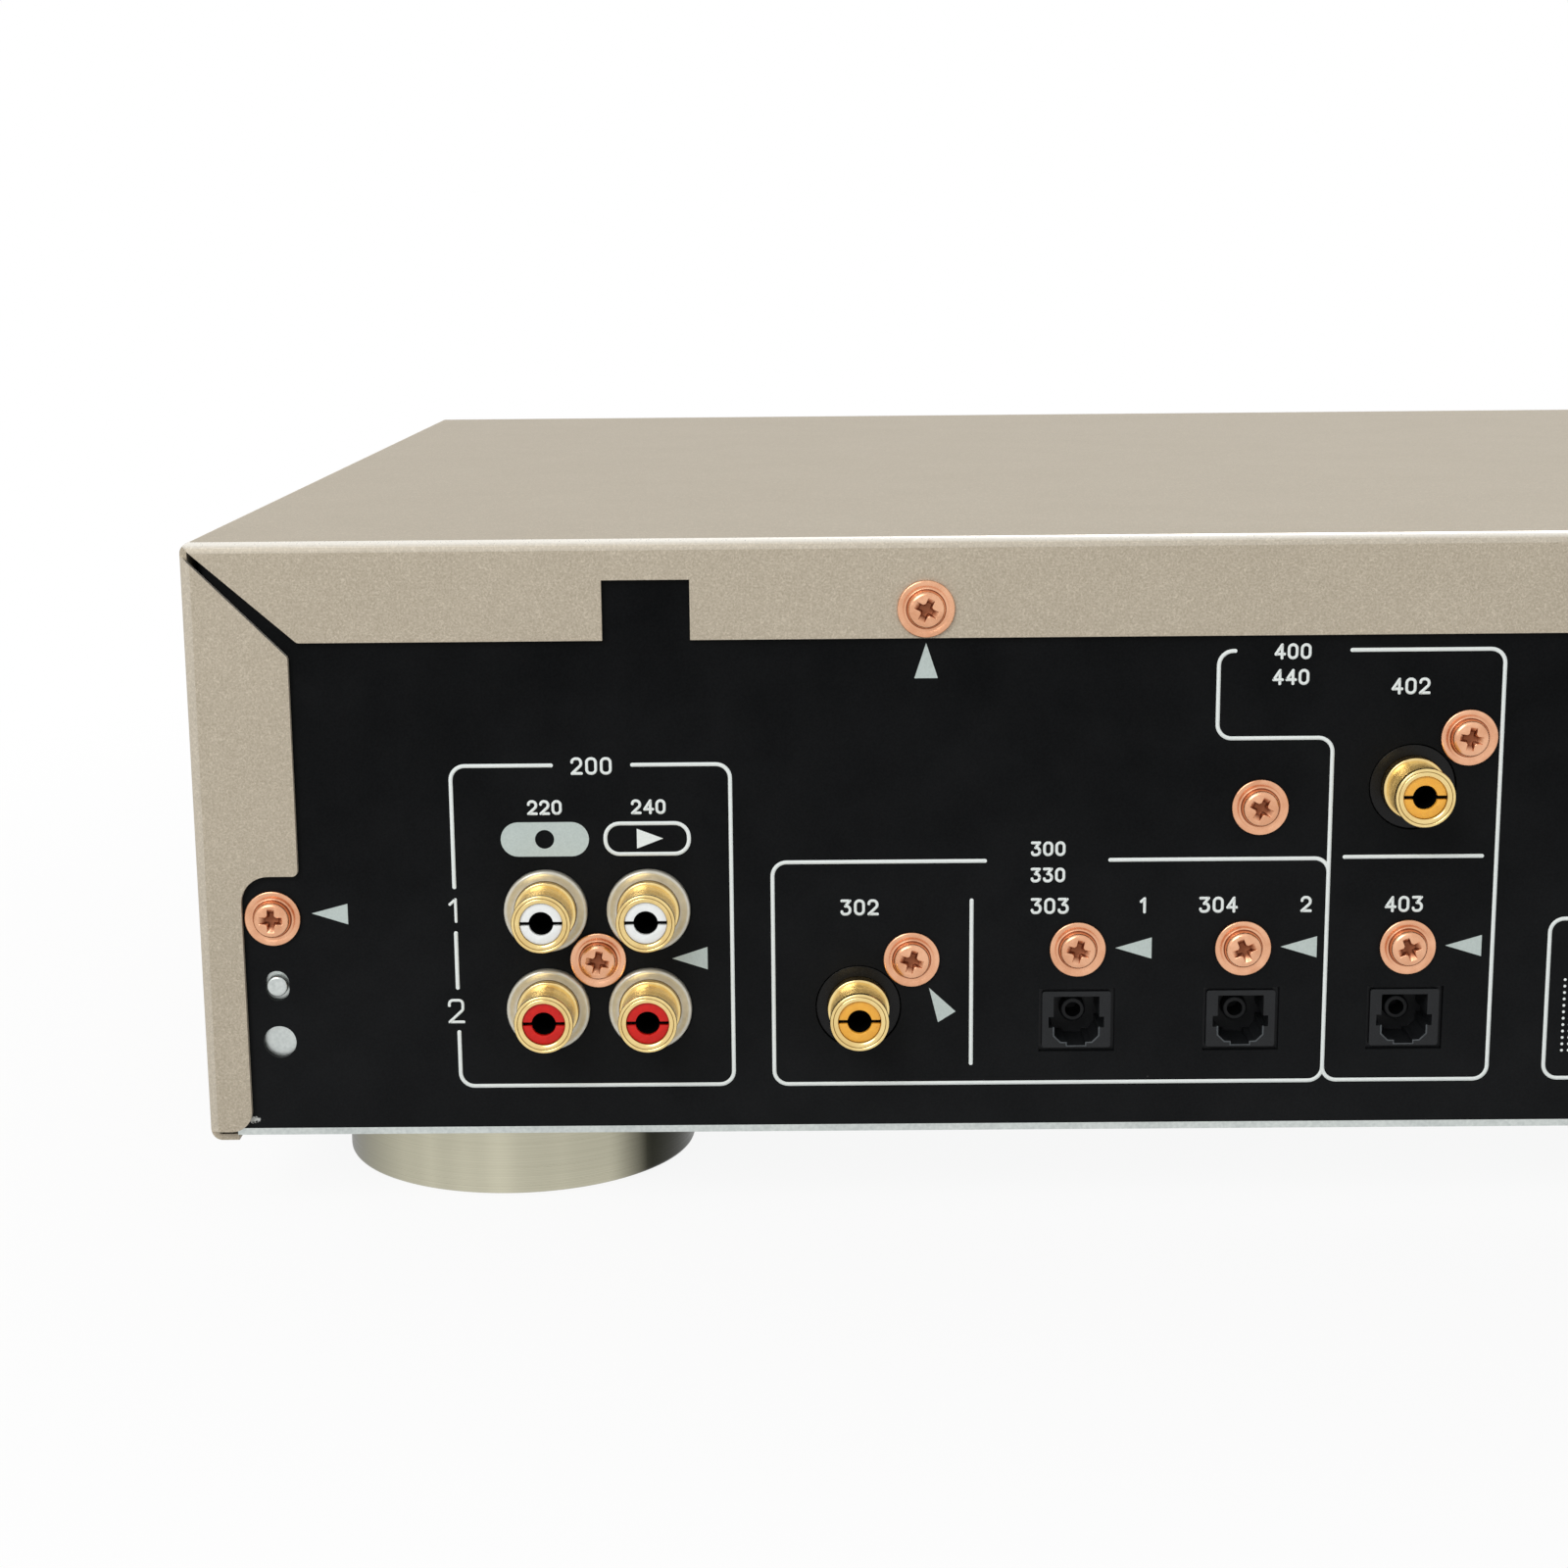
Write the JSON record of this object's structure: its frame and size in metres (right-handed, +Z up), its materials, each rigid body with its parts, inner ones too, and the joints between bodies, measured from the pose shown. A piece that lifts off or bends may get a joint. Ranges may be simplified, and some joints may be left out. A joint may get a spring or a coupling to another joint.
{
  "type": "minidisc deck",
  "caption": "Full-width minidisc recorder deck with a slot loader, front controls, a folded steel cover, round metal feet and rear pin, coaxial and optical sockets.",
  "frame": {"origin": "centre of the bounding box, on the plane the feet stand on", "axes": "+X to the right as seen from the front, +Y from the front to the rear panel, +Z up"},
  "size_m": [0.4388, 0.2974, 0.0987],
  "materials": {
    "zinc_plate": "bright zinc plate",
    "black_paint": "satin black paint, fine texture",
    "champagne_paint": "satin metallic champagne paint",
    "champagne_aluminium": "brushed and anodised champagne",
    "black_plastic": "moulded black",
    "smoked_acrylic": "smoked and polished",
    "display_glass": "dark display glass",
    "tan_board": "phenolic board",
    "bright_steel": "ground and polished",
    "circuit_board": "green solder mask",
    "transformer_iron": "varnished laminations",
    "cream_plastic": "glossy cream",
    "gold_plate": "polished gold plate",
    "white_plastic": "white insulator",
    "red_plastic": "red insulator",
    "amber_plastic": "orange-yellow insulator",
    "copper_plate": "copper-plated steel",
    "rubber": "matt",
    "ribbon_grey": "flat cable",
    "steel_plate": "plain steel sheet",
    "white_acetal": "natural acetal"
  },
  "bodies": {
    "chassis": {"chassis_tray": "zinc_plate", "rear_panel": "black_paint", "top_cover": "champagne_paint", "front_panel": "champagne_aluminium", "slot_bezel": "black_plastic", "front_frame": "black_plastic", "display_window": "smoked_acrylic", "display_tube": "display_glass", "front_board": "tan_board", "headphone_jack": "bright_steel", "main_board": "circuit_board", "power_board": "tan_board", "power_transformer": "transformer_iron", "digital_bracket": "zinc_plate", "digital_board": "circuit_board", "line_jack_block": "black_plastic", "line_jack_collars": "cream_plastic", "line_jack_shells": "gold_plate", "line_jack_inserts_white": "white_plastic", "line_jack_inserts_red": "red_plastic", "coax_jack_bases": "black_plastic", "coax_jack_shells": "gold_plate", "coax_jack_inserts": "amber_plastic", "optical_inputs": "black_plastic", "optical_output": "black_plastic", "control_jacks": "bright_steel", "mains_inlet": "black_plastic", "mains_pins": "bright_steel", "panel_screws": "copper_plate", "cover_screws": "copper_plate", "feet": "champagne_aluminium", "foot_pads": "rubber", "foot_screws": "zinc_plate", "corner_brackets": "zinc_plate", "ribbon_cables": "ribbon_grey", "mech_bracket": "zinc_plate", "mech_dampers": "rubber", "mech_plate": "steel_plate", "drive_motors": "steel_plate", "guide_rods": "bright_steel"},
    "slot_door": {"slot_door": "black_plastic"},
    "cartridge_holder": {"cartridge_holder": "steel_plate"},
    "loading_slider": {"loading_slider": "white_acetal"},
    "loading_gear": {"loading_gear": "white_acetal"},
    "head_arm": {"head_arm": "steel_plate"},
    "turntable": {"turntable": "bright_steel"},
    "pickup_sled": {"pickup_sled": "black_plastic"},
    "sled_gear": {"sled_gear": "white_acetal"},
    "jog_dial": {"jog_dial": "champagne_aluminium"},
    "record_level_knob": {"record_level_knob": "champagne_aluminium"},
    "phones_level_knob": {"phones_level_knob": "champagne_aluminium"},
    "timer_switch_knob": {"timer_switch_knob": "black_plastic"},
    "power_button": {"power_button": "champagne_aluminium"},
    "eject_button": {"eject_button": "champagne_aluminium"},
    "rewind_button": {"rewind_button": "champagne_aluminium"},
    "forward_button": {"forward_button": "champagne_aluminium"},
    "record_button": {"record_button": "champagne_aluminium"},
    "play_button": {"play_button": "champagne_aluminium"},
    "pause_button": {"pause_button": "champagne_aluminium"},
    "stop_button": {"stop_button": "champagne_aluminium"}
  },
  "joints": [
    {"name": "door_hinge", "type": "hinge", "parent": "chassis", "child": "slot_door", "pos_m": [0, -0.12515, 0.0851], "axis": [1, 0, 0], "range_deg": [0, 80], "stiffness_Nm_per_rad": 0.002},
    {"name": "loading_slide", "type": "slide", "parent": "chassis", "child": "loading_slider", "axis": [0, 1, 0], "range_m": [0, 0.016]},
    {"name": "holder_lift", "type": "slide", "parent": "chassis", "child": "cartridge_holder", "axis": [0, 0, 1], "range_m": [-0.0045, 0]},
    {"name": "loading_gear_spin", "type": "hinge", "parent": "chassis", "child": "loading_gear", "pos_m": [0.0346, -0.06465, 0.0581], "axis": [0, 0, 1], "range_deg": [0, 143.7]},
    {"name": "head_arm_tilt", "type": "hinge", "parent": "chassis", "child": "head_arm", "pos_m": [0, 0.00685, 0.0869], "axis": [1, 0, 0], "range_deg": [0, 4.61]},
    {"name": "turntable_spin", "type": "hinge", "parent": "chassis", "child": "turntable", "pos_m": [0, -0.07165, 0.0696], "axis": [0, 0, 1], "continuous": true},
    {"name": "sled_slide", "type": "slide", "parent": "chassis", "child": "pickup_sled", "axis": [0, 1, 0], "range_m": [0, 0.016]},
    {"name": "sled_gear_spin", "type": "hinge", "parent": "chassis", "child": "sled_gear", "pos_m": [-0.02455, -0.04865, 0.0581], "axis": [0, 0, 1], "range_deg": [0, 191.5]},
    {"name": "jog_dial_spin", "type": "hinge", "parent": "chassis", "child": "jog_dial", "pos_m": [0.18, -0.13465, 0.0701], "axis": [0, 1, 0], "continuous": true},
    {"name": "record_level_turn", "type": "hinge", "parent": "chassis", "child": "record_level_knob", "pos_m": [0.18, -0.13465, 0.0331], "axis": [0, 1, 0], "range_deg": [-150, 150]},
    {"name": "phones_level_turn", "type": "hinge", "parent": "chassis", "child": "phones_level_knob", "pos_m": [-0.168, -0.13465, 0.0331], "axis": [0, 1, 0], "range_deg": [-150, 150]},
    {"name": "timer_switch_slide", "type": "slide", "parent": "chassis", "child": "timer_switch_knob", "axis": [1, 0, 0], "range_m": [-0.004, 0.004]},
    {"name": "power_press", "type": "slide", "parent": "chassis", "child": "power_button", "axis": [0, 1, 0], "range_m": [0, 0.0025], "stiffness_N_per_m": 400},
    {"name": "eject_press", "type": "slide", "parent": "chassis", "child": "eject_button", "axis": [0, 1, 0], "range_m": [0, 0.0008], "stiffness_N_per_m": 400},
    {"name": "rewind_press", "type": "slide", "parent": "chassis", "child": "rewind_button", "axis": [0, 1, 0], "range_m": [0, 0.0008], "stiffness_N_per_m": 400},
    {"name": "forward_press", "type": "slide", "parent": "chassis", "child": "forward_button", "axis": [0, 1, 0], "range_m": [0, 0.0008], "stiffness_N_per_m": 400},
    {"name": "record_press", "type": "slide", "parent": "chassis", "child": "record_button", "axis": [0, 1, 0], "range_m": [0, 0.0008], "stiffness_N_per_m": 400},
    {"name": "play_press", "type": "slide", "parent": "chassis", "child": "play_button", "axis": [0, 1, 0], "range_m": [0, 0.0008], "stiffness_N_per_m": 400},
    {"name": "pause_press", "type": "slide", "parent": "chassis", "child": "pause_button", "axis": [0, 1, 0], "range_m": [0, 0.0008], "stiffness_N_per_m": 400},
    {"name": "stop_press", "type": "slide", "parent": "chassis", "child": "stop_button", "axis": [0, 1, 0], "range_m": [0, 0.0008], "stiffness_N_per_m": 400}
  ],
  "couplings": [
    {"joint": "holder_lift", "follows": "loading_slide", "ratio": -0.28125},
    {"joint": "loading_gear_spin", "follows": "loading_slide", "rad_per_m": 156.25},
    {"joint": "head_arm_tilt", "follows": "loading_slide", "rad_per_m": 4.9779},
    {"joint": "sled_gear_spin", "follows": "sled_slide", "rad_per_m": 208.33}
  ]
}
